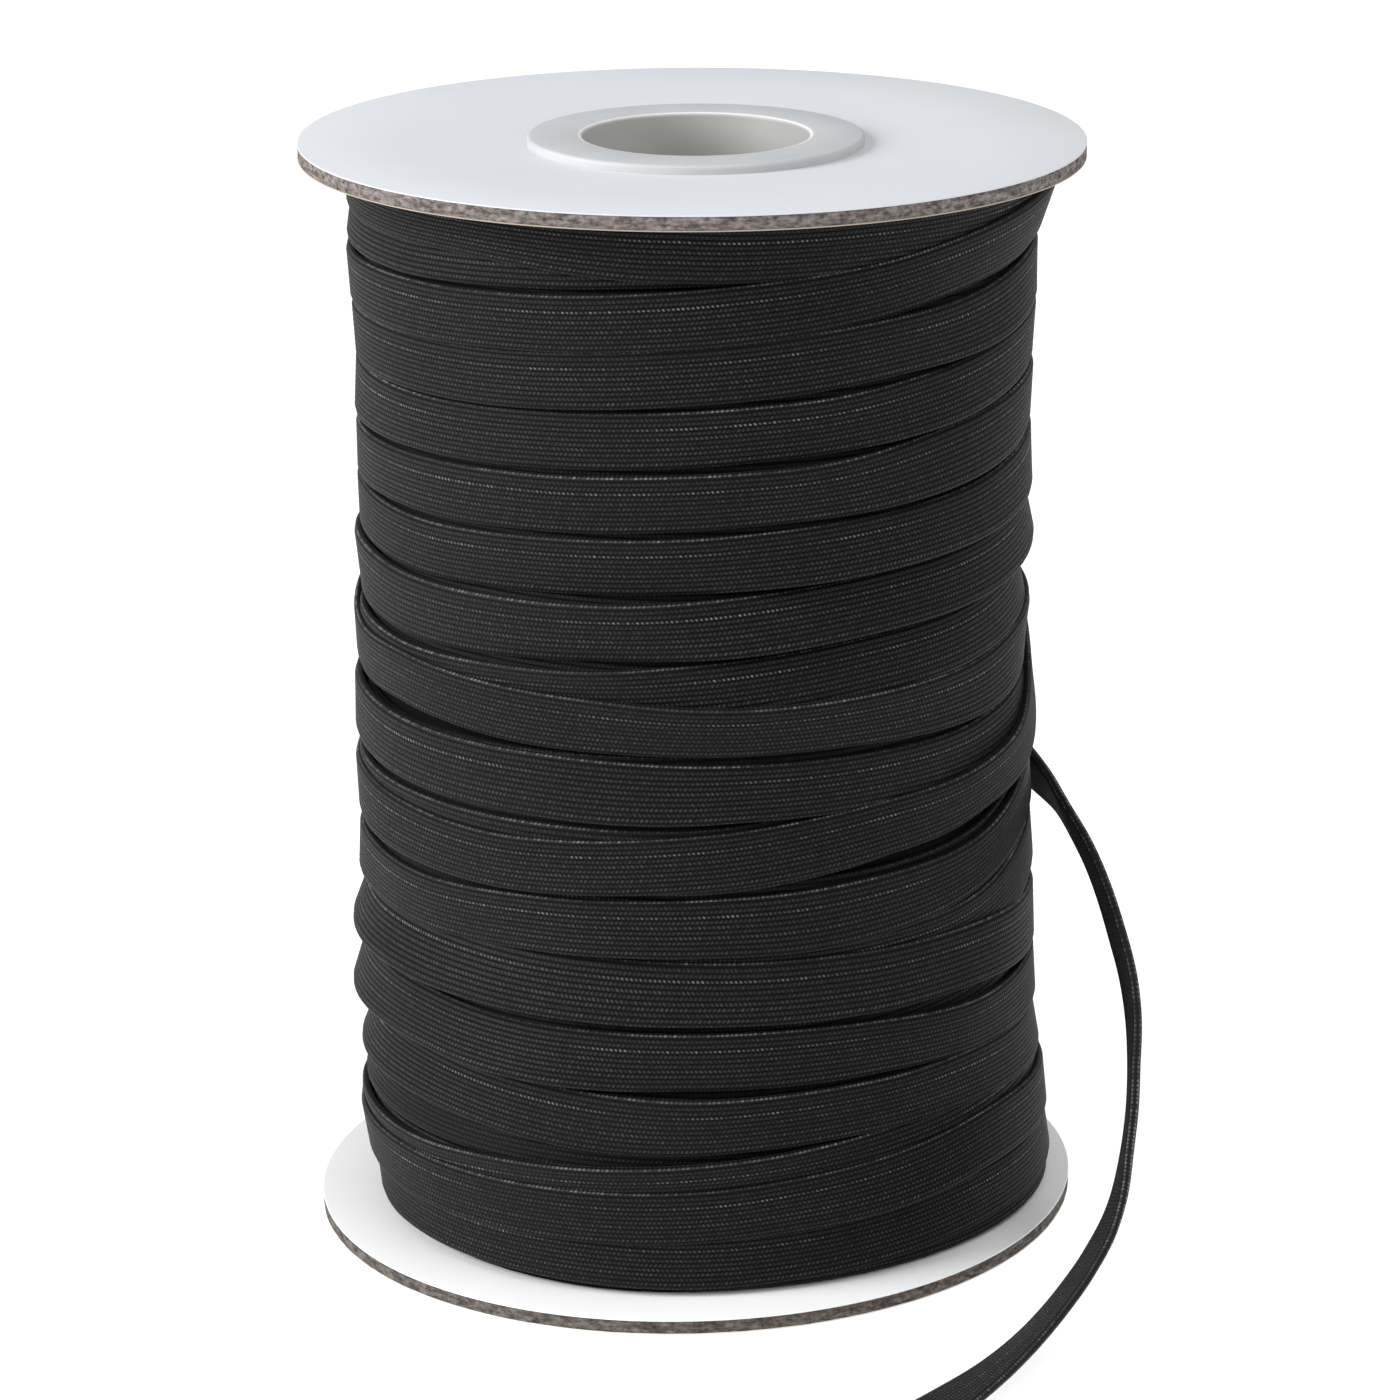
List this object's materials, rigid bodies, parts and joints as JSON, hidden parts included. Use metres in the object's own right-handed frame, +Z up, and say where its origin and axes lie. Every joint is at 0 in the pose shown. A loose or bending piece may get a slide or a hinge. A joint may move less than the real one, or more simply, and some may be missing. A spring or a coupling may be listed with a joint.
{
  "type": "roll of elastic",
  "caption": "Flat black braided elastic wound on an upright board spool with plastic hubs, its loose end curling down beside the roll to the floor.",
  "frame": {"origin": "on the spool's axis, at the surface that its lower hub stands on", "axes": "+Z up along the spool's axis; -Y is the front that the picture shows; +X to the right, the side the loose end hangs on"},
  "size_m": [0.0806, 0.1015, 0.1103],
  "materials": {
    "hub_plastic": "moulded light grey plastic, satin, with a fine bright rim on its bore",
    "white_board": "smooth white lined greyboard, its die-cut edge brown-grey and fibrous",
    "grey_board": "plain grey-brown spiral-wound paper tube",
    "black_elastic": "near-black braided elastic with raised lengthwise ribs of small stitches, soft sheen on the ribs"
  },
  "bodies": {
    "root": {"bottom_hub": "hub_plastic", "bottom_board": "white_board", "core_tube": "grey_board", "winding": "black_elastic", "top_board": "white_board", "top_hub": "hub_plastic", "tail": "black_elastic"}
  },
  "joints": []
}
